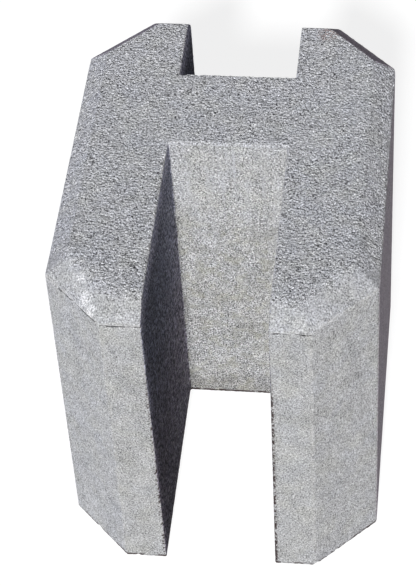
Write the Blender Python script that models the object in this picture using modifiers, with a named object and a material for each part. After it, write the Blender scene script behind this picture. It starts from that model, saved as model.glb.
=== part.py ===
"""Fence plinth connector block: one cast concrete block with an H-shaped plan.

Metres, +Z up. The origin is the centre of the base, X runs across the block, from slot wall to slot wall,
and Y runs along it, from the deep front slot at -Y to the shallow back slot at +Y. Both slots are open at
the top, at the bottom and at their own end, so plinth boards and a fence post drop in from above.
"""

from math import radians

import bmesh
import bpy
from mathutils import Matrix

# Outer size
WIDTH = 0.168
LENGTH = 0.228
HEIGHT = 0.200

# Slots and the web between them
SLOT_WIDTH = 0.063
BACK_SLOT_DEPTH = 0.0525
WEB_THICKNESS = 0.054
# How much nearer the middle each slot wall stands at the base than at the top, where the mould core left
SLOT_DRAFT = 0.0015

# Edges
CORNER_CHAMFER = 0.032
TOP_BEVEL_RUN = 0.0115
TOP_BEVEL_DROP = 0.010
ARRIS_RADIUS = 0.0012
ARRIS_SEGMENTS = 2
# Edges that turn by less than this stay as they are
ARRIS_LEAST_TURN = radians(20)

# A cutter runs this far past the faces that it opens
CUT_MARGIN = 0.020

# Dry-cast grey concrete
CONCRETE_COLOUR = (0.44, 0.445, 0.455, 1.0)
CONCRETE_ROUGHNESS = 0.92


def clear_scene():
    for obj in list(bpy.data.objects):
        bpy.data.objects.remove(obj, do_unlink=True)


def new_collection(name):
    collection = bpy.data.collections.new(name)
    bpy.context.scene.collection.children.link(collection)
    return collection


def concrete_material():
    material = bpy.data.materials.new("cast_concrete")
    material.use_nodes = True
    shader = material.node_tree.nodes["Principled BSDF"]
    shader.inputs["Base Color"].default_value = CONCRETE_COLOUR
    shader.inputs["Roughness"].default_value = CONCRETE_ROUGHNESS
    shader.inputs["Metallic"].default_value = 0.0
    material.diffuse_color = CONCRETE_COLOUR
    return material


def add_object(name, shape, collection):
    """Makes a mesh object of the bmesh and puts it in the collection."""
    bmesh.ops.recalc_face_normals(shape, faces=shape.faces)
    mesh = bpy.data.meshes.new(name)
    shape.to_mesh(mesh)
    shape.free()
    obj = bpy.data.objects.new(name, mesh)
    collection.objects.link(obj)
    return obj


def outer_block(collection):
    """The block before its slots are cut: chamfered corners and a bevel all round the top."""
    side_height = HEIGHT - TOP_BEVEL_DROP
    shape = bmesh.new()
    place = Matrix.Translation((0, 0, side_height / 2)) @ Matrix.Diagonal((WIDTH, LENGTH, side_height, 1))
    bmesh.ops.create_cube(shape, size=1, matrix=place)

    upright = [edge for edge in shape.edges if abs(edge.verts[0].co.z - edge.verts[1].co.z) > side_height / 2]
    bmesh.ops.bevel(shape, geom=upright, offset=CORNER_CHAMFER, offset_type="OFFSET", segments=1, affect="EDGES")

    # The flat top moves up and inwards, and the ring that it leaves behind is the mitred top bevel.
    top = max(shape.faces, key=lambda face: face.calc_center_median().z)
    bmesh.ops.inset_individual(shape, faces=[top], thickness=TOP_BEVEL_RUN, depth=TOP_BEVEL_DROP)
    return add_object("connector_block", shape, collection)


def slot_cutter(name, y_open, y_web, collection):
    """A wedge with upright ends and sides that draw in by SLOT_DRAFT towards the base."""
    low, high = -CUT_MARGIN, HEIGHT + CUT_MARGIN
    shape = bmesh.new()
    size = (SLOT_WIDTH, abs(y_open - y_web), high - low, 1)
    place = Matrix.Translation((0, (y_open + y_web) / 2, (low + high) / 2)) @ Matrix.Diagonal(size)
    bmesh.ops.create_cube(shape, size=1, matrix=place)
    for vert in shape.verts:
        inward = SLOT_DRAFT * (HEIGHT - vert.co.z) / HEIGHT
        vert.co.x += -inward if vert.co.x > 0 else inward
    cutter = add_object(name, shape, collection)
    cutter.hide_render = True
    cutter.display_type = "WIRE"
    return cutter


def cut(block, cutter):
    modifier = block.modifiers.new(cutter.name, "BOOLEAN")
    modifier.operation = "DIFFERENCE"
    modifier.solver = "EXACT"
    modifier.object = cutter


def soften_arrises(block):
    """The small round that a concrete edge keeps when it leaves the mould."""
    modifier = block.modifiers.new("arrises", "BEVEL")
    modifier.limit_method = "ANGLE"
    modifier.angle_limit = ARRIS_LEAST_TURN
    modifier.width = ARRIS_RADIUS
    modifier.segments = ARRIS_SEGMENTS


def build():
    clear_scene()
    parts = new_collection("fence_plinth_connector_block")
    cutters = new_collection("cutters")

    block = outer_block(parts)
    block.data.materials.append(concrete_material())

    web_back = LENGTH / 2 - BACK_SLOT_DEPTH
    web_front = web_back - WEB_THICKNESS
    cut(block, slot_cutter("front_slot", -LENGTH / 2 - CUT_MARGIN, web_front, cutters))
    cut(block, slot_cutter("back_slot", LENGTH / 2 + CUT_MARGIN, web_back, cutters))
    soften_arrises(block)


build()
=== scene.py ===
import random
from math import cos, radians, sin

import bmesh
import bpy
import numpy as np
from mathutils import Matrix, Vector
from mathutils.bvhtree import BVHTree


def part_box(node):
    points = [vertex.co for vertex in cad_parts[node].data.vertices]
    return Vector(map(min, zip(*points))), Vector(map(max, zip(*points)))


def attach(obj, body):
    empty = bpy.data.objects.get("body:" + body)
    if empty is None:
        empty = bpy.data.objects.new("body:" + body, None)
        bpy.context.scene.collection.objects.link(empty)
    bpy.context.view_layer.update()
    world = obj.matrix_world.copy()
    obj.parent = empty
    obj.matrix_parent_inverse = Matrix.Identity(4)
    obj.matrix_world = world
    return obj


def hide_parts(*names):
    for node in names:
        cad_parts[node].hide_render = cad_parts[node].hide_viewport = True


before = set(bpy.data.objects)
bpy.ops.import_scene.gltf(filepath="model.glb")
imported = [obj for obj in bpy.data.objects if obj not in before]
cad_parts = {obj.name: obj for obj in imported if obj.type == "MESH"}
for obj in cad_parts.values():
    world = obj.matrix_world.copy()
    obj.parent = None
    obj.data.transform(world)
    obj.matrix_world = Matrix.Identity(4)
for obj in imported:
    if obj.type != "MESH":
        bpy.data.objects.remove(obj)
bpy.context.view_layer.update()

nodeLow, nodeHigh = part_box("connector_block")


def clearSelection():
    bpy.ops.object.select_all(action="DESELECT")


def makeActive(obj):
    clearSelection()
    obj.select_set(True)
    bpy.context.view_layer.objects.active = obj


def pick(obj, kind, rule):
    # selects, in edit mode, the edges or faces that the rule says yes to
    bpy.ops.mesh.select_mode(type=kind)
    bpy.ops.mesh.select_all(action="DESELECT")
    shape = bmesh.from_edit_mesh(obj.data)
    shape.normal_update()
    parts = {"EDGE": shape.edges, "FACE": shape.faces}[kind]
    for part in parts:
        if rule(part):
            part.select_set(True)
    bmesh.update_edit_mesh(obj.data)


def addModifier(obj, kind, name, **settings):
    makeActive(obj)
    modifier = obj.modifiers.new(name, kind)
    for key, value in settings.items():
        setattr(modifier, key, value)
    bpy.ops.object.modifier_apply(modifier=name)


# The cast block. Its outer size is the CAD node's box, and what else a user would change is here.
# Lengths are in metres and turns in degrees.
castBlock = {
    "slotWidth": 0.063,
    "backSlotDepth": 0.0525,
    "webThickness": 0.054,
    "slotDraft": 0.0015,  # how far each slot wall leans in at the base
    "cornerChamfer": 0.032,
    "topBevelRun": 0.0115,
    "topBevelDrop": 0.010,
    "creaseRound": 0.0042,  # the crease between the top and its front bevels is worn round
    "creaseSegments": 4,
    "cutMargin": 0.020,
    "arrisTurn": 20,  # an edge that turns by more than this is an arris
    "squareTurn": 60,  # and one that turns by more than this is square enough to chip
    "smoothTurn": 32,
    "triangles": 192000,
    # corners and edges that broke off when the block was stripped and stacked
    "chips": {
        "spacing": 0.021,  # metres of edge for each chip
        "smallest": 0.0007,
        "largest": 0.0022,
        "bite": 0.45,
        "unevenness": 0.4,
        "mostSpin": 6,  # radians
        "leastStretch": 0.8,
        "addedStretch": (0.9, 0.6, 0.9),
        "seed": 11,
    },
    # where the surface relief lies
    "relief": {
        "voxel": 0.00062,
        "creaseCatch": 0.7,  # in voxels
        "topSkin": (0.0016, 0.0006),  # how far below the surface the coarse top ends and is full
        "frontFade": (0.45, 1.05),  # in bevel runs inwards from the outline
        "backFade": (0.97, 1.10),
        "arrisWidth": 0.0009,
        "skinFrom": (0.001, 0.004),
    },
    # thin broken seams at the foot of the top bevel, where the press plate met the mould
    "seams": {
        "below": 0.0013,  # under the bevel's foot
        "halfHeight": 0.00060,
        "core": 0.3,  # the part of that height that is cut in full
        "ends": 0.001,
        "flatSkin": 0.0015,  # how far in from a flat it still counts as its skin
        "cornerSkin": 0.002,
        "lines": {  # from x, to x, strength
            "rightFlat": (0.0325, 0.0530, 1.0),
            "leftFlat": (-0.0525, -0.0310, 0.85),
            "leftCorner": (-0.0830, -0.0525, 0.80),
        },
    },
}
# The layers of relief, which only ever go inwards: where each one lies, how deep, and its texture
reliefLayers = {
    "grit": ("coarse", 0.00016, "VORONOI", {"noise_scale": 0.0014}),
    "lumps": ("coarse", 0.00010, "CLOUDS", {"noise_scale": 0.0013, "noise_depth": 2}),
    "pits": (
        "coarse", 0.0009, "CLOUDS",
        {"noise_scale": 0.0011, "noise_depth": 1, "contrast": 5.0, "intensity": -0.15},
    ),
    "ragged": ("arris", 0.0004, "CLOUDS", {"noise_scale": 0.0017, "noise_depth": 3, "contrast": 2.0}),
    "skin": ("skin", 0.00008, "CLOUDS", {"noise_scale": 0.030, "noise_depth": 1}),
    "seam": (
        "seam", 0.0009, "CLOUDS",
        {"noise_scale": 0.0016, "noise_depth": 1, "contrast": 1.6, "intensity": 1.35},
    ),
}
nearby = 0.001  # places closer than this count as one
facesUp = 0.9  # the least upward part of the normal of a level face
weightSteps = 24

topZ = nodeHigh.z
rimZ = topZ - castBlock["topBevelDrop"]
halfX = nodeHigh.x
halfY = nodeHigh.y
halfSlot = castBlock["slotWidth"] / 2
cornerSum = halfX + halfY - castBlock["cornerChamfer"]  # x plus y all along a corner chamfer
webBackY = halfY - castBlock["backSlotDepth"]
webFrontY = webBackY - castBlock["webThickness"]
seamZ = rimZ - castBlock["seams"]["below"]


def isUpright(edge):
    return abs(edge.verts[0].co.z - edge.verts[1].co.z) > rimZ / 2


def isFrontCrease(edge):
    first, second = edge.verts[0].co, edge.verts[1].co
    onTop = min(first.z, second.z) > topZ - nearby
    return onTop and abs(first.x - second.x) > nearby and (first.y + second.y) / 2 < -halfY / 2


def roughOutBlock():
    clearSelection()
    bpy.ops.mesh.primitive_cube_add(size=1, location=(0, 0, rimZ / 2), scale=(halfX * 2, halfY * 2, rimZ))
    block = bpy.context.object
    block.name = "castBlock"
    block.data.name = "castBlock"
    bpy.ops.object.transform_apply(location=True, rotation=True, scale=True)
    bpy.ops.object.mode_set(mode="EDIT")
    pick(block, "EDGE", isUpright)
    bpy.ops.mesh.bevel(offset=castBlock["cornerChamfer"], segments=1, affect="EDGES")
    pick(block, "FACE", lambda face: face.normal.z > facesUp)
    bpy.ops.mesh.inset(thickness=castBlock["topBevelRun"], depth=castBlock["topBevelDrop"])
    pick(block, "EDGE", isFrontCrease)
    bpy.ops.mesh.bevel(
        offset=castBlock["creaseRound"], segments=castBlock["creaseSegments"], affect="EDGES"
    )
    bpy.ops.object.mode_set(mode="OBJECT")
    return block


def cutSlot(block, name, openY, webY):
    margin = castBlock["cutMargin"]
    low, high = -margin, topZ + margin
    middleY = (openY + webY) / 2
    clearSelection()
    bpy.ops.mesh.primitive_cube_add(
        size=1,
        location=(0, middleY, (low + high) / 2),
        scale=(halfSlot * 2, abs(openY - webY), high - low),
    )
    cutter = bpy.context.object
    cutter.name = name
    bpy.ops.object.transform_apply(location=True, rotation=True, scale=True)
    bpy.ops.object.mode_set(mode="EDIT")
    for level in (low, high):
        # the mould core leaves the slot a little narrower at the base
        lean = castBlock["slotDraft"] * (topZ - level) / topZ
        pick(cutter, "FACE", lambda face: abs(face.calc_center_median().z - level) < nearby)
        bpy.ops.transform.resize(
            value=((halfSlot - lean) / halfSlot, 1, 1), center_override=(0, middleY, level)
        )
    bpy.ops.object.mode_set(mode="OBJECT")
    addModifier(block, "BOOLEAN", name, operation="DIFFERENCE", solver="EXACT", object=cutter)
    bpy.data.objects.remove(cutter, do_unlink=True)


def findArrises(block):
    # ends, outward direction and turn of every arris
    shape = bmesh.new()
    shape.from_mesh(block.data)
    found = []
    for edge in shape.edges:
        if len(edge.link_faces) == 2 and edge.is_convex:
            turn = edge.calc_face_angle()
            if turn > radians(castBlock["arrisTurn"]):
                outward = (edge.link_faces[0].normal + edge.link_faces[1].normal).normalized()
                found.append((edge.verts[0].co.copy(), edge.verts[1].co.copy(), outward, turn))
    shape.free()
    return found


def addChipStone(dice, place, radius):
    chips = castBlock["chips"]
    bpy.ops.mesh.primitive_ico_sphere_add(subdivisions=2, radius=radius, location=place)
    stone = bpy.context.object
    for vert in stone.data.vertices:
        vert.co *= 1 - chips["unevenness"] / 2 + chips["unevenness"] * dice.random()
    stone.rotation_euler = [dice.random() * chips["mostSpin"] for _ in range(3)]
    stone.scale = [chips["leastStretch"] + dice.random() * added for added in chips["addedStretch"]]
    return stone


def knockChips(block, edges):
    chips = castBlock["chips"]
    dice = random.Random(chips["seed"])
    clearSelection()
    bites = []
    for start, end, outward, turn in edges:
        if turn < radians(castBlock["squareTurn"]):
            continue
        for _ in range(int((end - start).length / chips["spacing"] + dice.random())):
            place = start.lerp(end, dice.random())
            radius = chips["smallest"] + (chips["largest"] - chips["smallest"]) * dice.random() ** 3
            bites.append((place + outward * radius * (1 - chips["bite"]), radius))
    stones = [addChipStone(dice, place, radius) for place, radius in bites]
    for stone in stones:
        stone.select_set(True)
    bpy.context.view_layer.objects.active = stones[0]
    bpy.ops.object.join()
    chipTool = bpy.context.object
    bpy.ops.object.transform_apply(location=True, rotation=True, scale=True)
    addModifier(
        block, "BOOLEAN", "chips", operation="DIFFERENCE", solver="EXACT", use_self=True, object=chipTool
    )
    bpy.data.objects.remove(chipTool, do_unlink=True)


def pointsOf(obj):
    points = np.empty(len(obj.data.vertices) * 3)
    obj.data.vertices.foreach_get("co", points)
    return points.reshape(-1, 3)


def movePoints(obj, points):
    obj.data.vertices.foreach_set("co", points.ravel())
    obj.data.update()


def smoothStep(values, low, high):
    share = np.clip((values - low) / (high - low), 0, 1)
    return share * share * (3 - 2 * share)


def nearestOn(points, start, end):
    # the nearest place to each point on the line between the two ends
    a, b = np.array(start), np.array(end)
    along = np.clip((points - a) @ (b - a) / ((b - a) @ (b - a)), 0, 1)
    return a + along[:, None] * (b - a)


def edgeDistance(points, edges):
    nearest = np.full(len(points), 1.0)
    for start, end, _, _ in edges:
        nearest = np.minimum(nearest, np.linalg.norm(points - nearestOn(points, start, end), axis=1))
    return nearest


def crispCreases(block, edges):
    # remeshing rounds off the creases at the back and along the sides, so the nearest points go back
    relief = castBlock["relief"]
    points = pointsOf(block)
    for start, end, _, turn in edges:
        onTop = min(start.z, end.z) > topZ - nearby
        if onTop and turn < radians(castBlock["squareTurn"]) and (start.y + end.y) / 2 > -halfY / 4:
            foot = nearestOn(points, start, end)
            near = np.linalg.norm(points - foot, axis=1) < relief["creaseCatch"] * relief["voxel"]
            points[near] = foot[near]
    movePoints(block, points)


def coarseShare(points):
    # 1 on the rough top: it fades out down the front bevels, stops at the back ones
    # and runs on over the long side ones
    relief = castBlock["relief"]
    run, drop = castBlock["topBevelRun"], castBlock["topBevelDrop"]
    x, y = abs(points[:, 0]), abs(points[:, 1])
    corner = (cornerSum - x - y) / 2 ** 0.5
    inward = np.minimum(np.minimum(halfX - x, halfY - y), corner)
    skinZ = topZ - drop * np.clip(1 - inward / run, 0, 1)
    near = smoothStep(points[:, 2], skinZ - relief["topSkin"][0], skinZ - relief["topSkin"][1])
    fromEnd = np.minimum(halfY - y, corner)
    back = smoothStep(fromEnd, relief["backFade"][0] * run, relief["backFade"][1] * run)
    back = np.where(halfX - x < fromEnd, 1, back)
    front = smoothStep(fromEnd, relief["frontFade"][0] * run, relief["frontFade"][1] * run)
    return near * np.where(points[:, 1] > 0, back, front)


def seamShare(points):
    seams = castBlock["seams"]
    height = seams["halfHeight"]
    near = smoothStep(-abs(points[:, 2] - seamZ), -height, -seams["core"] * height)
    onFlat = points[:, 1] < -halfY + seams["flatSkin"]
    fromCorner = cornerSum - abs(points[:, 0]) - abs(points[:, 1])
    onCorner = (fromCorner < seams["cornerSkin"]) & (points[:, 1] < 0)
    share = np.zeros(len(points))
    for name, (fromX, toX, strength) in seams["lines"].items():
        starts = smoothStep(points[:, 0], fromX, fromX + seams["ends"])
        stops = smoothStep(-points[:, 0], -toX, -toX + seams["ends"])
        face = onCorner if name == "leftCorner" else onFlat
        share = np.maximum(share, starts * stops * face * strength)
    return near * share


def paintGroup(obj, name, weights):
    group = obj.vertex_groups.new(name=name)
    steps = np.round(weights * weightSteps).astype(int)
    for step in range(1, weightSteps + 1):
        group.add(np.flatnonzero(steps == step).tolist(), step / weightSteps, "REPLACE")


def weather(block, edges):
    relief = castBlock["relief"]
    addModifier(block, "REMESH", "fine mesh", mode="VOXEL", voxel_size=relief["voxel"])
    crispCreases(block, edges)
    points = pointsOf(block)
    distance = edgeDistance(points, edges)
    coarse = coarseShare(points)
    paintGroup(block, "coarse", coarse)
    paintGroup(block, "arris", np.exp(-((distance / relief["arrisWidth"]) ** 2)))
    paintGroup(block, "skin", (1 - coarse) * smoothStep(distance, *relief["skinFrom"]))
    paintGroup(block, "seam", seamShare(points))

    for name, (where, depth, kind, settings) in reliefLayers.items():
        texture = bpy.data.textures.new(name, kind)
        if kind == "CLOUDS":
            texture.use_clamp = True
        for key, value in settings.items():
            setattr(texture, key, value)
        addModifier(
            block, "DISPLACE", name, texture=texture, texture_coords="LOCAL",
            vertex_group=where, strength=-depth, mid_level=0.0,
        )
        bpy.data.textures.remove(texture)

    count = sum(len(face.vertices) - 2 for face in block.data.polygons)
    share = castBlock["triangles"] / count
    addModifier(block, "DECIMATE", "fewer faces", ratio=share, use_collapse_triangulate=True)
    block.vertex_groups.clear()
    print("weathered block:", count, "triangles before,", len(block.data.polygons), "after")


def keepInside(block):
    # nothing stands proud of the CAD box
    movePoints(block, np.clip(pointsOf(block), np.array(nodeLow), np.array(nodeHigh)))


def noteDepth(block, plainShape):
    # how deep each point lies below the plain shape, in millimetres, for the material
    depth = [plainShape.find_nearest(Vector(point))[3] * 1000 for point in pointsOf(block)]
    layer = block.data.attributes.new("relief", "FLOAT", "POINT")
    layer.data.foreach_set("value", depth)


block = roughOutBlock()
cutSlot(block, "frontSlot", -halfY - castBlock["cutMargin"], webFrontY)
cutSlot(block, "backSlot", halfY + castBlock["cutMargin"], webBackY)
edges = findArrises(block)
shape = bmesh.new()
shape.from_mesh(block.data)
plainShape = BVHTree.FromBMesh(shape)
shape.free()
print("block cut out:", len(edges), "arrises")
knockChips(block, edges)
print("chips knocked off")
weather(block, edges)
keepInside(block)
noteDepth(block, plainShape)
makeActive(block)
bpy.ops.object.shade_smooth_by_angle(angle=radians(castBlock["smoothTurn"]))
print("block finished")


# Node helpers: a socket or a plain value may be fed to any input
def feed(tree, socket, source):
    if isinstance(source, bpy.types.NodeSocket):
        tree.links.new(source, socket)
    elif source is not None:
        socket.default_value = source


def sums(tree, operation, first, second=None):
    node = tree.nodes.new("ShaderNodeMath")
    node.operation = operation
    feed(tree, node.inputs[0], first)
    feed(tree, node.inputs[1], second)
    return node.outputs[0]


def times(tree, first, *others):
    for other in others:
        first = sums(tree, "MULTIPLY", first, other)
    return first


def plus(tree, first, second):
    return sums(tree, "ADD", first, second)


def minus(tree, first, second):
    return sums(tree, "SUBTRACT", first, second)


def larger(tree, first, second):
    return sums(tree, "MAXIMUM", first, second)


def smaller(tree, first, second):
    return sums(tree, "MINIMUM", first, second)


def sizeOf(tree, value):
    return sums(tree, "ABSOLUTE", value)


def span(tree, value, low, high, fromValue=0.0, toValue=1.0, soft=True):
    node = tree.nodes.new("ShaderNodeMapRange")
    node.interpolation_type = "SMOOTHSTEP" if soft else "LINEAR"
    for index, source in enumerate((value, low, high, fromValue, toValue)):
        feed(tree, node.inputs[index], source)
    return node.outputs[0]


def blend(tree, kind, amount, first, second):
    node = tree.nodes.new("ShaderNodeMix")
    node.data_type = "RGBA"
    node.blend_type = kind
    node.clamp_factor = True
    feed(tree, node.inputs["Factor"], amount)
    feed(tree, node.inputs[6], first)
    feed(tree, node.inputs[7], second)
    return node.outputs[2]


def noiseField(tree, vector, scale, detail=2.0, rough=0.5, twist=0.0):
    node = tree.nodes.new("ShaderNodeTexNoise")
    feed(tree, node.inputs["Vector"], vector)
    feed(tree, node.inputs["Scale"], scale)
    feed(tree, node.inputs["Detail"], detail)
    feed(tree, node.inputs["Roughness"], rough)
    feed(tree, node.inputs["Distortion"], twist)
    return node.outputs[0]


def stretched(tree, vector, scale, offset=(0, 0, 0)):
    node = tree.nodes.new("ShaderNodeMapping")
    feed(tree, node.inputs["Vector"], vector)
    node.inputs["Scale"].default_value = scale
    node.inputs["Location"].default_value = offset
    return node.outputs[0]


def partsOf(tree, vector):
    node = tree.nodes.new("ShaderNodeSeparateXYZ")
    tree.links.new(vector, node.inputs[0])
    return list(node.outputs)


def blot(tree, place, centre, radius):
    # a soft round patch at one spot
    node = tree.nodes.new("ShaderNodeVectorMath")
    node.operation = "DISTANCE"
    feed(tree, node.inputs[0], place)
    node.inputs[1].default_value = centre
    return span(tree, node.outputs["Value"], radius, radius * 0.35)


def newGroup(name, values, outputs):
    # a node group that takes a Vector and the values named, and gives the outputs named
    tree = bpy.data.node_groups.new(name, "ShaderNodeTree")
    tree.interface.new_socket("Vector", in_out="INPUT", socket_type="NodeSocketVector")
    for label, value in values.items():
        socket = tree.interface.new_socket(label, in_out="INPUT", socket_type="NodeSocketFloat")
        socket.default_value = value
    for label in outputs:
        tree.interface.new_socket(label, in_out="OUTPUT", socket_type="NodeSocketFloat")
    given = tree.nodes.new("NodeGroupInput").outputs
    return tree, given, tree.nodes.new("NodeGroupOutput").inputs


def useGroup(tree, group, **values):
    node = tree.nodes.new("ShaderNodeGroup")
    node.node_tree = group
    for label, source in values.items():
        feed(tree, node.inputs[label], source)
    return node.outputs


noiseGain = 7.0  # brings a noise field to about -1 to 1, once its middle is at 0


def makeGrain():
    # sand grain: a shade that is 1 on average, and a height that is 0 on average
    values = {"Scale": 900.0, "Contrast": 0.2, "Lumps": 750.0, "Clouds": 0.1}
    tree, given, result = newGroup("sandGrain", values, ["Shade", "Height"])
    place, darkest = given["Vector"], 0.15
    field = noiseField(tree, place, given["Scale"], 1.0, 0.6)
    single = times(tree, minus(tree, field, 0.5), noiseGain)
    shade = plus(tree, 1.0, times(tree, single, given["Contrast"]))
    wide = noiseField(tree, place, times(tree, given["Scale"], 0.07), 5.0, 0.7)
    cloud = times(tree, minus(tree, wide, 0.5), noiseGain)
    shade = plus(tree, shade, times(tree, cloud, given["Clouds"]))
    tree.links.new(larger(tree, shade, darkest), result["Shade"])
    lumps = noiseField(tree, place, given["Lumps"], 1.0, 0.4)
    tree.links.new(minus(tree, lumps, 0.5), result["Height"])
    return tree


def makeSpots():
    # scattered round spots: pores, sand specks or flecks, one in each cell that is drawn
    values = {"Scale": 300.0, "Radius": 0.25, "Share": 0.3}
    tree, given, result = newGroup("scatteredSpots", values, ["Mask"])
    cells = tree.nodes.new("ShaderNodeTexVoronoi")
    feed(tree, cells.inputs["Vector"], given["Vector"])
    feed(tree, cells.inputs["Scale"], given["Scale"])
    draw = tree.nodes.new("ShaderNodeSeparateColor")
    tree.links.new(cells.outputs["Color"], draw.inputs[0])
    wobble = noiseField(tree, given["Vector"], times(tree, given["Scale"], 2.3), 1.0)
    reach = times(tree, given["Radius"], plus(tree, 0.45, wobble))
    inside = span(tree, cells.outputs["Distance"], reach, times(tree, reach, 0.5))
    chosen = sums(tree, "LESS_THAN", draw.outputs[0], given["Share"])
    tree.links.new(times(tree, inside, chosen), result["Mask"])
    return tree


def makePatches():
    # cloudy patches: 0 between them and 1 inside
    values = {"Scale": 60.0, "Cover": 0.5, "Softness": 0.12}
    tree, given, result = newGroup("cloudyPatches", values, ["Mask"])
    field = noiseField(tree, given["Vector"], given["Scale"], 4.0, 0.6)
    edge = minus(tree, 1.0, given["Cover"])
    low, high = minus(tree, edge, given["Softness"]), plus(tree, edge, given["Softness"])
    tree.links.new(span(tree, field, low, high), result["Mask"])
    return tree


def makeCracks():
    # short curved cracks between the lumps of a dry mix: 1 along them and 0 elsewhere
    values = {"Scale": 260.0, "Width": 0.04, "Cover": 0.4}
    tree, given, result = newGroup("shortCracks", values, ["Mask"])
    field = noiseField(tree, given["Vector"], given["Scale"], 1.0, 0.5, 0.6)
    ridge = sizeOf(tree, minus(tree, field, 0.5))
    line = span(tree, ridge, given["Width"], times(tree, given["Width"], 0.3))
    gate = noiseField(tree, given["Vector"], times(tree, given["Scale"], 0.8), 2.0, 0.6)
    edge = minus(tree, 1.0, given["Cover"])
    shown = span(tree, gate, edge, plus(tree, edge, 0.05))
    tree.links.new(times(tree, line, shown), result["Mask"])
    return tree


def makeStreaks():
    # long marks that run down a face, left by the mould as it was drawn off: about 0 on average
    tree, given, result = newGroup("drawnStreaks", {"Scale": 700.0}, ["Value"])
    drawn = stretched(tree, given["Vector"], (1, 1, 0.035))
    field = noiseField(tree, drawn, given["Scale"], 3.0, 0.65)
    tree.links.new(times(tree, minus(tree, field, 0.5), 4.0), result["Value"])
    return tree


def makeEdgeReach():
    # how far it is to the nearest arris, to one that isn't upright, inwards from the outline of the
    # ends and of the long sides, and down from the top and its bevels
    tree, given, result = newGroup("edgeReach", {}, ["Arris", "Sharp", "Ends", "Side", "Below"])
    x, y, z = partsOf(tree, given["Vector"])
    flatX, flatY = sizeOf(tree, x), sizeOf(tree, y)
    side, end = minus(tree, halfX, flatX), minus(tree, halfY, flatY)
    corner = times(tree, minus(tree, cornerSum, plus(tree, flatX, flatY)), 0.5 ** 0.5)
    nearest = smaller(tree, side, end)
    upright = larger(tree, nearest, smaller(tree, larger(tree, side, end), corner))
    outline = smaller(tree, nearest, corner)
    skinZ = span(tree, outline, 0.0, castBlock["topBevelRun"], rimZ, topZ, soft=False)
    below = minus(tree, skinZ, z)
    slotEdge = span(tree, z, 0.0, topZ, halfSlot - castBlock["slotDraft"], halfSlot, soft=False)
    outside = larger(tree, minus(tree, flatX, slotEdge), 0.0)
    intoWeb = smaller(tree, minus(tree, y, webFrontY), minus(tree, webBackY, y))
    slot = larger(tree, outside, larger(tree, intoWeb, 0.0))
    # the second smallest of the four distances is the way to the arris between the two nearest faces
    lowOne, highOne = smaller(tree, outline, below), larger(tree, outline, below)
    lowTwo, highTwo = smaller(tree, z, slot), larger(tree, z, slot)
    second = smaller(tree, larger(tree, lowOne, lowTwo), smaller(tree, highOne, highTwo))
    tree.links.new(smaller(tree, second, upright), result["Arris"])
    tree.links.new(second, result["Sharp"])
    tree.links.new(smaller(tree, end, corner), result["Ends"])
    tree.links.new(side, result["Side"])
    tree.links.new(below, result["Below"])
    return tree


patterns = {
    "grain": makeGrain(),
    "spots": makeSpots(),
    "patches": makePatches(),
    "cracks": makeCracks(),
    "streaks": makeStreaks(),
    "edgeReach": makeEdgeReach(),
}
print("concrete patterns made:", len(patterns))

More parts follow.
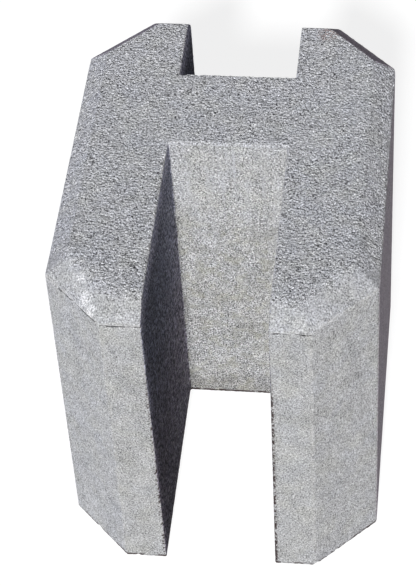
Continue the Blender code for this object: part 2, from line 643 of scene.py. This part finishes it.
# The concrete. Colours are linear, and heights are in metres.
# painted shade: pores, holes and cracks are painted near black, and deep pits are darkened with it as
# shade and dirt
hollowShadeColour = (0.055, 0.052, 0.058, 1)
quartzColour = (0.85, 0.85, 0.86, 1)
concreteLook = {
    "roughness": 0.92,
    "shine": 0.06,
    "skinColour": (0.479, 0.481, 0.488, 1),
    # painted light: the chamfers are painted lighter than the flats
    "chamferLitColour": (0.507, 0.511, 0.520, 1),
    # painted shade: the top bevels are painted darker than the skin, the back ones darker still and purple
    "bevelShadeColour": (0.430, 0.435, 0.452, 1),
    "backBevelShadeColour": (0.400, 0.360, 0.415, 1),
    "webColour": (0.465, 0.466, 0.468, 1),
    "topColour": (0.524, 0.530, 0.557, 1),
    # painted shade: the slot walls are painted dark and bluish, more purple towards their foot
    "slotShadeColour": (0.252, 0.256, 0.318, 1),
    "slotFootShadeColour": (0.268, 0.246, 0.300, 1),
    # painted light: the long sides are painted with the purple tint of reflected light
    "sideLitColour": (0.462, 0.430, 0.470, 1),
    "skinGrain": {"Scale": 1300.0, "Lumps": 800.0, "Clouds": 0.12},
    "skinContrast": 0.42,
    "webContrast": 0.28,  # on top of the skin's
    "topGrain": {"Scale": 1625.0, "Contrast": 0.51, "Lumps": 760.0, "Clouds": 0.0},
    "streakScale": 720.0,
    # the coarse top's lower edge, in bevel runs, and how far it frays at the front
    "frontFade": (0.45, 1.15),
    "backFade": (0.96, 1.02),
    "frayScale": 190,
    "frayWidth": 0.012,
    # painted shade and painted glints: the slot walls are painted dark, the long sides lighter, and sand
    # and specks on both are painted bright as glints
    "slotGlints": {
        "stretch": (1, 0.7, 1), "sandNoise": (700, 2, 0.7), "sandStep": (0.44, 0.62),
        "specks": {"Scale": 560.0, "Radius": 0.50, "Share": 0.13}, "base": 0.36, "sand": 1.6, "speck": 3.0,
    },
    "sideGlints": {
        "stretch": (1, 1, 1), "sandNoise": (620, 1, 0.5), "sandStep": (0.38, 0.64),
        "specks": {"Scale": 480.0, "Radius": 0.52, "Share": 0.20}, "base": 1.10, "sand": 0.7, "speck": 1.4,
    },
    # painted shade: the slot walls are painted darker towards the foot
    "slotShadeGain": (1.02, 1.38),  # at the foot and at the top
    "slotStreaks": 0.25,
    # chalky scuffs on the front left corner bevel: centre, radius, most cover
    "scuffSpots": [
        ((-0.0705, -0.0805, 0.1990), 0.0040, 0.45),
        ((-0.0635, -0.0900, 0.1975), 0.0050, 0.47),
        ((-0.0600, -0.1000, 0.1930), 0.0064, 0.50),
        ((-0.0565, -0.1065, 0.1915), 0.0056, 0.49),
    ],
    "leastScuffCover": 0.30,
    "rustSpot": ((0.0463, 0.0978, 0.2), 0.0075),  # at the back of the right cheek
    "crackCover": (0.38, 0.41),  # at the back and at the front
    "darkEdgeCover": (0.44, 0.52),  # on the left and on the right
    "footCover": 0.49,
    "webFootCover": 0.07,  # on top of the foot's
    "poreShare": (0.28, 0.50),  # everywhere, and added on the coarse top
    "seamWander": 0.0022,
    "seamBreaks": (0.35, 0.65),  # what always shows of a seam, and what comes and goes
    "brushFloor": 0.35,
    "lightBandShare": 0.7,
    "skinBump": 0.00010,
    "topBump": 0.0013,
    "slotBump": 0.00006,
    "poreDepth": (0.0001, 0.0003),  # everywhere, and added on the coarse top
    "crackDepth": 0.0004,
    "quartzHeight": 0.00025,
    "streakHeight": 0.00003,
}
# What is laid over the concrete: how it is drawn, how much of its colour is laid on, and the colour
marks = {
    "brushed": {"share": 0.55, "colour": (0.60, 0.605, 0.635, 1)},
    "yellowStain": {
        "pattern": "patches", "values": {"Scale": 140.0, "Cover": 0.44, "Softness": 0.06},
        "share": 0.30, "colour": (0.45, 0.44, 0.36, 1),
    },
    "brownStain": {
        "pattern": "patches", "values": {"Scale": 150.0, "Cover": 0.44, "Softness": 0.06},
        "shift": (0.31, 0.1, 0.07), "share": 0.36, "colour": (0.27, 0.265, 0.245, 1),
    },
    "damp": {
        "pattern": "patches", "values": {"Scale": 38.0, "Cover": 0.45, "Softness": 0.12},
        "shift": (0.02, 0, 0.013), "mix": "MULTIPLY", "share": 1.0, "colour": (0.83, 0.83, 0.82, 1),
    },
    "webFoot": {"mix": "MULTIPLY", "share": 1.0, "colour": (0.78, 0.77, 0.76, 1)},
    "warmCloud": {
        "pattern": "patches", "values": {"Scale": 70.0, "Cover": 0.46, "Softness": 0.10},
        "mix": "MULTIPLY", "share": 0.42, "colour": (1.0, 1.0, 0.93, 1),
    },
    "coolCloud": {
        "pattern": "patches", "values": {"Scale": 60.0, "Cover": 0.47, "Softness": 0.10},
        "shift": (0.2, 0.5, 0.3), "mix": "MULTIPLY", "share": 0.42, "colour": (0.95, 0.97, 1.02, 1),
    },
    # painted shade and dirt in the deepest pits of the relief
    "pitShadeAndDirt": {"share": 0.35, "colour": hollowShadeColour},
    "cracks": {
        "pattern": "cracks", "values": {"Scale": 440.0, "Width": 0.055},
        "share": 1.0, "colour": hollowShadeColour,
    },
    "holes": {
        "pattern": "spots", "values": {"Scale": 1050.0, "Radius": 0.54, "Share": 0.11},
        "share": 0.85, "colour": hollowShadeColour,
    },
    "paleGrains": {
        "pattern": "spots", "values": {"Scale": 1100.0, "Radius": 0.50, "Share": 0.13},
        "shift": (0.7, 0.2, 0.4), "share": 0.66, "colour": quartzColour,
    },
    "pores": {
        "pattern": "spots", "values": {"Scale": 640.0, "Radius": 0.40, "Share": 0.14},
        "share": 1.0, "colour": hollowShadeColour,
    },
    "quartz": {
        "pattern": "spots", "values": {"Scale": 560.0, "Radius": 0.34, "Share": 0.10},
        "share": 0.6, "colour": quartzColour,
    },
    "scuffs": {
        "pattern": "patches", "values": {"Scale": 1000.0, "Softness": 0.05},
        "share": 0.85, "colour": (0.92, 0.92, 0.94, 1),
    },
    "rust": {
        "pattern": "patches", "values": {"Scale": 700.0, "Cover": 0.47, "Softness": 0.04},
        "share": 0.6, "colour": (0.42, 0.27, 0.24, 1),
    },
    "paleArris": {
        "pattern": "patches", "values": {"Scale": 260.0, "Cover": 0.50, "Softness": 0.10},
        "share": 0.25, "colour": (0.66, 0.65, 0.62, 1),
    },
    "darkEdge": {
        "pattern": "patches", "values": {"Scale": 560.0, "Softness": 0.03},
        "share": 0.92, "colour": (0.045, 0.025, 0.025, 1),
    },
    "darkFoot": {"pattern": "patches", "values": {"Scale": 170.0, "Softness": 0.03}},
    # painted shadow: the groove of each seam is painted near black
    "seam": {"share": 1.0, "colour": (0.02, 0.02, 0.022, 1)},
}
# Where each mask begins and where it is full: parts of a normal, values of a noise field, or metres
maskSteps = {
    "wallTurn": (0.6, 0.8),
    "slotMiddle": (0.0450, 0.0400),
    "webDepth": (0.030, 0.036),
    "sideTurn": (0.85, 0.95),
    "sideDepth": (0.004, 0.002),
    "chamferTurn": (0.36, 0.46),
    "chamferDepth": (-0.001, 0.0005),
    "bevelTurn": (0.3, 0.5),
    "bevelHeight": (rimZ - 0.001, rimZ),
    "back": (-0.02, 0.02),
    "coarseDepth": (0.0026, 0.0012),
    "slotHeight": (0.06, 0.16),
    "slotShadeGainHeight": (0.03, 0.19),
    "brushHeight": (0.105, 0.185),
    "lightBand": (0.010, 0.022),
    "stainHeight": (0.17, 0.11),
    "dampHeight": (0.165, 0.125),
    "webFootHeight": (0.022, 0.004),
    "deepPit": (0.55, 1.5),  # millimetres
    "crackPlace": (-0.03, -0.09),
    "arrisWear": (0.0014, 0.0003),
    "darkEdgePlace": (-0.01, 0.01),
    "darkEdgeWidth": (0.0021, 0.0011),
    "darkEdgeHeight": (0.165, 0.130),
    "footHeight": (0.0027, 0.0018),
    "seamWidth": (0.0006, 0.0002),
    "seamFlat": (-halfY + 0.0022, -halfY + 0.0014),
    "seamCorner": (-0.07, -0.08),
    "seamBreak": (0.36, 0.50),
}


def stepOf(tree, value, name, between=(0.0, 1.0)):
    return span(tree, value, *maskSteps[name], *between)


def markMask(tree, at, name, **more):
    # draws one of the marks over the whole block, as a mask
    mark = marks[name]
    place = at["place"]
    if "shift" in mark:
        place = stretched(tree, place, (1, 1, 1), mark["shift"])
    return useGroup(tree, patterns[mark["pattern"]], Vector=place, **mark["values"], **more)["Mask"]


def paint(tree, tone, name, mask):
    # lays the mark's colour on the tone, where the mask is
    mark = marks[name]
    return blend(tree, mark.get("mix", "MIX"), times(tree, mask, mark["share"]), tone, mark["colour"])


def findFaces(tree):
    # where on the block a place is: each mask is 1 on its own faces
    found = tree.nodes.new("ShaderNodeTexCoord")
    place = found.outputs["Object"]
    x, y, z = partsOf(tree, place)
    turnX, turnY, turnZ = [sizeOf(tree, part) for part in partsOf(tree, found.outputs["Normal"])]
    reach = useGroup(tree, patterns["edgeReach"], Vector=place)
    at = {"place": place, "x": x, "y": y, "z": z, "reach": reach}
    inMiddle = stepOf(tree, sizeOf(tree, x), "slotMiddle")
    at["slotWall"] = times(tree, stepOf(tree, turnX, "wallTurn"), inMiddle)
    at["web"] = times(
        tree, stepOf(tree, turnY, "wallTurn"), stepOf(tree, reach["Ends"], "webDepth"), inMiddle
    )
    at["longSide"] = times(tree, stepOf(tree, turnX, "sideTurn"), stepOf(tree, reach["Side"], "sideDepth"))
    chamferTurn = stepOf(tree, times(tree, turnX, turnY), "chamferTurn")
    at["chamfer"] = times(tree, chamferTurn, stepOf(tree, reach["Below"], "chamferDepth"))
    at["bevel"] = times(tree, stepOf(tree, turnZ, "bevelTurn"), stepOf(tree, z, "bevelHeight"))
    at["back"] = stepOf(tree, y, "back")
    at["brushed"] = times(tree, at["web"], stepOf(tree, z, "brushHeight"))
    at["coarse"] = coarseMask(tree, at)
    return at


def coarseMask(tree, at):
    # how much of the coarse top shows: it frays out down the front bevels, stops at the back ones
    # and runs on over the long side ones
    look, reach, run = concreteLook, at["reach"], castBlock["topBevelRun"]
    field = noiseField(tree, at["place"], look["frayScale"], 3, 0.6)
    fray = times(tree, minus(tree, field, 0.5), look["frayWidth"])
    frayed = plus(tree, reach["Ends"], times(tree, fray, minus(tree, 1.0, at["back"])))
    fades = zip(look["frontFade"], look["backFade"])
    fadeFrom, fadeTo = [span(tree, at["back"], 0.0, 1.0, front * run, back * run) for front, back in fades]
    onSide = times(tree, at["back"], sums(tree, "LESS_THAN", reach["Side"], reach["Ends"]))
    reached = larger(tree, onSide, span(tree, frayed, fadeFrom, fadeTo))
    return times(tree, reached, stepOf(tree, reach["Below"], "coarseDepth"))


def castTone(tree, at, grain):
    # the colour of each cast face, with the grain of its skin; the chamfers and long sides carry painted
    # light, the slot walls and top bevels painted shade
    look = concreteLook
    tone = blend(tree, "MIX", at["chamfer"], look["skinColour"], look["chamferLitColour"])
    tone = blend(tree, "MIX", at["web"], tone, look["webColour"])
    slotHeight = stepOf(tree, at["z"], "slotHeight")
    slotShadeTone = blend(tree, "MIX", slotHeight, look["slotFootShadeColour"], look["slotShadeColour"])
    tone = blend(tree, "MIX", at["slotWall"], tone, slotShadeTone)
    tone = blend(tree, "MIX", at["longSide"], tone, look["sideLitColour"])
    bevelShadeTone = blend(tree, "MIX", at["back"], look["bevelShadeColour"], look["backBevelShadeColour"])
    tone = blend(tree, "MIX", at["bevel"], tone, bevelShadeTone)
    return blend(tree, "MULTIPLY", 1.0, tone, grain["Shade"])


def markWeb(tree, at, tone, drawn):
    # the web was brushed by the core near its top and on the right, and is stained and damp lower down
    look = concreteLook
    lightBand = times(tree, at["web"], stepOf(tree, at["x"], "lightBand"), look["lightBandShare"])
    brush = times(tree, larger(tree, at["brushed"], lightBand), plus(tree, look["brushFloor"], drawn))
    tone = paint(tree, tone, "brushed", larger(tree, brush, 0.0))
    stained = times(tree, at["web"], stepOf(tree, at["z"], "stainHeight"))
    for name in ("yellowStain", "brownStain"):
        tone = paint(tree, tone, name, times(tree, markMask(tree, at, name), stained))
    damp = times(tree, markMask(tree, at, "damp"), at["web"], stepOf(tree, at["z"], "dampHeight"))
    tone = paint(tree, tone, "damp", damp)
    return paint(tree, tone, "webFoot", times(tree, at["web"], stepOf(tree, at["z"], "webFootHeight")))


def glintsOf(tree, at, look):
    # painted glints: a wall's tone is scaled by sand and specks painted bright where they would catch the
    # light
    place = stretched(tree, at["place"], look["stretch"])
    sand = span(tree, noiseField(tree, place, *look["sandNoise"]), *look["sandStep"])
    specks = useGroup(tree, patterns["spots"], Vector=place, **look["specks"])["Mask"]
    sandy = plus(tree, look["base"], times(tree, sand, look["sand"]))
    return plus(tree, sandy, times(tree, specks, look["speck"]))


def shadeWalls(tree, at, tone, drawn):
    # painted shade on the slot walls, darker towards the foot, and painted light with glints on the long
    # sides
    look = concreteLook
    gain = stepOf(tree, at["z"], "slotShadeGainHeight", look["slotShadeGain"])
    streaks = plus(tree, 1.0, times(tree, drawn, look["slotStreaks"]))
    slotShadeAndGlints = times(tree, glintsOf(tree, at, look["slotGlints"]), gain, streaks)
    tone = blend(tree, "MULTIPLY", at["slotWall"], tone, slotShadeAndGlints)
    return blend(tree, "MULTIPLY", at["longSide"], tone, glintsOf(tree, at, look["sideGlints"]))


def findDots(tree, at):
    # the pits, cracks, pores and grains, as masks, in the order in which they are painted; the deep pits
    # take painted shade and dirt, and the cracks, holes and pores painted shade
    depth = tree.nodes.new("ShaderNodeAttribute")
    depth.attribute_name = "relief"
    crackCover = stepOf(tree, at["y"], "crackPlace", concreteLook["crackCover"])
    return {
        "pitShadeAndDirt": times(tree, at["coarse"], stepOf(tree, depth.outputs["Fac"], "deepPit")),
        "cracks": times(tree, at["coarse"], markMask(tree, at, "cracks", Cover=crackCover)),
        "holes": times(tree, at["coarse"], markMask(tree, at, "holes")),
        "paleGrains": times(tree, at["coarse"], markMask(tree, at, "paleGrains")),
        "pores": markMask(tree, at, "pores"),
        "quartz": markMask(tree, at, "quartz"),
    }


def paintDots(tree, at, tone, dots):
    everywhere, onTop = concreteLook["poreShare"]
    for name, mask in dots.items():
        if name == "pores":
            mask = times(tree, mask, plus(tree, everywhere, times(tree, at["coarse"], onTop)))
        tone = paint(tree, tone, name, mask)
    return tone


def scuffAndRust(tree, at, tone):
    look = concreteLook
    cover = 0.0
    for centre, radius, most in look["scuffSpots"]:
        near = blot(tree, at["place"], centre, radius)
        cover = larger(tree, cover, span(tree, near, 0.0, 1.0, look["leastScuffCover"], most, soft=False))
    tone = paint(tree, tone, "scuffs", markMask(tree, at, "scuffs", Cover=cover))
    rust = times(tree, markMask(tree, at, "rust"), blot(tree, at["place"], *look["rustSpot"]))
    return paint(tree, tone, "rust", rust)


def wearArrises(tree, at, tone):
    # a pale line where the skin is thin, and dark brown marks on the lower arrises and along the foot
    look, reach, z = concreteLook, at["reach"], at["z"]
    pale = times(tree, stepOf(tree, reach["Arris"], "arrisWear"), markMask(tree, at, "paleArris"))
    tone = paint(tree, tone, "paleArris", pale)
    darkEdgeCover = stepOf(tree, at["x"], "darkEdgePlace", look["darkEdgeCover"])
    darkEdge = times(
        tree, markMask(tree, at, "darkEdge", Cover=darkEdgeCover),
        stepOf(tree, reach["Sharp"], "darkEdgeWidth"), stepOf(tree, z, "darkEdgeHeight"),
    )
    footCover = plus(tree, look["footCover"], times(tree, at["web"], look["webFootCover"]))
    foot = times(tree, markMask(tree, at, "darkFoot", Cover=footCover), stepOf(tree, z, "footHeight"))
    return paint(tree, tone, "darkEdge", larger(tree, darkEdge, foot))


def shadeSeams(tree, at, tone):
    # painted shadow along the seams, which wander a little, and break off here and there
    look, seams, x = concreteLook, castBlock["seams"], at["x"]
    wander = times(tree, minus(tree, noiseField(tree, at["place"], 200, 3), 0.5), look["seamWander"])
    away = sizeOf(tree, minus(tree, plus(tree, at["z"], wander), seamZ))
    always, comesAndGoes = look["seamBreaks"]
    breaks = stepOf(tree, noiseField(tree, at["place"], 330, 2), "seamBreak")
    shown = plus(tree, always, times(tree, breaks, comesAndGoes))
    seam = 0.0
    for name, (fromX, toX, strength) in seams["lines"].items():
        face = stepOf(tree, at["y"], "seamCorner" if name == "leftCorner" else "seamFlat")
        starts = span(tree, x, fromX, fromX + seams["ends"])
        stops = span(tree, x, toX, toX - seams["ends"])
        seam = larger(tree, seam, times(tree, starts, stops, face, strength))
    return paint(tree, tone, "seam", times(tree, seam, stepOf(tree, away, "seamWidth"), shown))


def heightOf(tree, at, skinGrain, topGrain, dots, drawn):
    # what is too fine for the mesh: grain, pores, cracks, proud sand grains and drawn marks
    look = concreteLook
    everywhere, onTop = look["poreDepth"]
    depth = span(tree, at["coarse"], 0.0, 1.0, look["skinBump"], look["topBump"], soft=False)
    depth = minus(tree, depth, times(tree, at["slotWall"], look["skinBump"] - look["slotBump"]))
    grain = blend(tree, "MIX", at["coarse"], skinGrain["Height"], topGrain["Height"])
    poreDepth = plus(tree, everywhere, times(tree, at["coarse"], onTop))
    height = minus(tree, times(tree, grain, depth), times(tree, dots["pores"], poreDepth))
    cracked = times(tree, larger(tree, dots["cracks"], dots["holes"]), look["crackDepth"])
    proud = times(tree, dots["quartz"], at["slotWall"], look["quartzHeight"])
    marked = times(tree, drawn, plus(tree, at["slotWall"], at["brushed"]), look["streakHeight"])
    return plus(tree, plus(tree, minus(tree, height, cracked), proud), marked)


def makeConcrete():
    material = bpy.data.materials.new("castConcrete")
    material.use_nodes = True
    tree, look = material.node_tree, concreteLook
    at = findFaces(tree)
    place = at["place"]
    contrast = plus(tree, look["skinContrast"], times(tree, at["web"], look["webContrast"]))
    skinGrain = useGroup(tree, patterns["grain"], Vector=place, Contrast=contrast, **look["skinGrain"])
    topGrain = useGroup(tree, patterns["grain"], Vector=place, **look["topGrain"])
    drawn = useGroup(tree, patterns["streaks"], Vector=place, Scale=look["streakScale"])["Value"]
    dots = findDots(tree, at)

    tone = castTone(tree, at, skinGrain)
    tone = markWeb(tree, at, tone, drawn)
    tone = shadeWalls(tree, at, tone, drawn)
    topTone = blend(tree, "MULTIPLY", 1.0, look["topColour"], topGrain["Shade"])
    tone = blend(tree, "MIX", at["coarse"], tone, topTone)
    for name in ("warmCloud", "coolCloud"):
        tone = paint(tree, tone, name, markMask(tree, at, name))
    tone = paintDots(tree, at, tone, dots)
    tone = scuffAndRust(tree, at, tone)
    tone = wearArrises(tree, at, tone)
    tone = shadeSeams(tree, at, tone)
    tone.node.clamp_result = True  # the brightest sand grains end at white

    shader = tree.nodes["Principled BSDF"]
    tree.links.new(tone, shader.inputs["Base Color"])
    shader.inputs["Roughness"].default_value = look["roughness"]
    shader.inputs["Specular IOR Level"].default_value = look["shine"]
    bump = tree.nodes.new("ShaderNodeBump")
    bump.inputs["Distance"].default_value = 1.0
    tree.links.new(heightOf(tree, at, skinGrain, topGrain, dots, drawn), bump.inputs["Height"])
    tree.links.new(bump.outputs["Normal"], shader.inputs["Normal"])
    return material


block.data.materials.clear()
block.data.materials.append(makeConcrete())
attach(block, "root")
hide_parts("connector_block")
print("concrete made")


# The studio. Turn is 0 in front and negative to the left, and height is above the floor, in degrees.
lampPlan = {
    "frontKey": {"turn": -0.25, "height": 36, "power": 3.65, "softness": 5, "tint": (1, 1, 1)},
    "leftRim": {"turn": -100, "height": 7, "power": 1.1, "softness": 16, "tint": (0.95, 0.96, 1.09)},
    "rightFill": {"turn": 86, "height": 10, "power": 0.45, "softness": 12, "tint": (1, 0.94, 1)},
}
lampDistance = 3


def makeLamps():
    for name, lamp in lampPlan.items():
        turn, height = radians(lamp["turn"]), radians(lamp["height"])
        towards = Vector((sin(turn) * cos(height), -cos(turn) * cos(height), sin(height)))
        rotation = towards.to_track_quat("Z", "Y").to_euler()
        bpy.ops.object.light_add(type="SUN", location=towards * lampDistance, rotation=rotation)
        sun = bpy.context.object
        sun.name = name
        sun.data.energy = lamp["power"]
        sun.data.angle = radians(lamp["softness"])
        sun.data.color = lamp["tint"]


# The floor looks white where it is lit and keeps the soft shadow of the block
floorLook = {"size": 14, "below": 0.0002, "seenColour": 0.27, "glow": 0.84, "litColour": 0.06}


def seenRays(tree):
    # 1 for what the camera sees, also in gloss and through glass
    path = tree.nodes.new("ShaderNodeLightPath")
    seen = larger(tree, path.outputs["Is Camera Ray"], path.outputs["Is Glossy Ray"])
    return larger(tree, seen, path.outputs["Is Transmission Ray"])


def chooseSeen(tree, unseen, seen, output):
    choice = tree.nodes.new("ShaderNodeMixShader")
    tree.links.new(seenRays(tree), choice.inputs[0])
    tree.links.new(unseen.outputs[0], choice.inputs[1])
    tree.links.new(seen.outputs[0], choice.inputs[2])
    tree.links.new(choice.outputs[0], output.inputs["Surface"])


def makeFloor():
    bpy.ops.mesh.primitive_plane_add(size=floorLook["size"], location=(0, 0, -floorLook["below"]))
    floor = bpy.context.object
    floor.name = "studioFloor"
    material = bpy.data.materials.new("paleFloor")
    material.use_nodes = True
    tree = material.node_tree
    tree.nodes.remove(tree.nodes["Principled BSDF"])
    matte = tree.nodes.new("ShaderNodeBsdfDiffuse")
    matte.inputs["Color"].default_value = (floorLook["litColour"],) * 3 + (1,)
    pale = tree.nodes.new("ShaderNodeBsdfDiffuse")
    pale.inputs["Color"].default_value = (floorLook["seenColour"],) * 3 + (1,)
    glow = tree.nodes.new("ShaderNodeEmission")
    glow.inputs["Strength"].default_value = floorLook["glow"]
    lit = tree.nodes.new("ShaderNodeAddShader")
    tree.links.new(pale.outputs[0], lit.inputs[0])
    tree.links.new(glow.outputs[0], lit.inputs[1])
    chooseSeen(tree, matte, lit, tree.nodes["Material Output"])
    floor.data.materials.append(material)


# The surroundings: white to look at, and a faint cool fill on the block
surroundings = {"fillColour": (0.85, 0.92, 1.0, 1), "fillStrength": 0.02, "seenColour": (1, 1, 1, 1)}


def makeWorld():
    world = bpy.data.worlds.new("studioAir")
    bpy.context.scene.world = world
    world.use_nodes = True
    tree = world.node_tree
    fill = tree.nodes["Background"]
    fill.inputs["Color"].default_value = surroundings["fillColour"]
    fill.inputs["Strength"].default_value = surroundings["fillStrength"]
    white = tree.nodes.new("ShaderNodeBackground")
    white.inputs["Color"].default_value = surroundings["seenColour"]
    chooseSeen(tree, fill, white, tree.nodes["World Output"])


# The camera looks down on the block from in front, turned as the photograph's was. Turns are in
# degrees, and the lens and the sensor in millimetres.
cameraView = {
    "place": (0.114489, -0.828746, 0.989695),
    "turn": 8.856,
    "tilt": -46.915,
    "roll": -3.944,
    "lens": 135.75,
    "sensor": 36,
}


def makeCamera():
    turned = Matrix.Rotation(radians(cameraView["turn"]), 4, "Z")
    tilted = Matrix.Rotation(radians(90 + cameraView["tilt"]), 4, "X")
    rolled = Matrix.Rotation(radians(cameraView["roll"]), 4, "Z")
    rotation = (turned @ tilted @ rolled).to_euler()
    bpy.ops.object.camera_add(location=cameraView["place"], rotation=rotation)
    camera = bpy.context.object
    camera.name = "photoCamera"
    camera.data.lens = cameraView["lens"]
    camera.data.sensor_width = cameraView["sensor"]
    bpy.context.scene.camera = camera


makeLamps()
makeFloor()
makeWorld()
makeCamera()
bpy.context.scene.view_settings.view_transform = "Standard"
print("studio and camera ready")
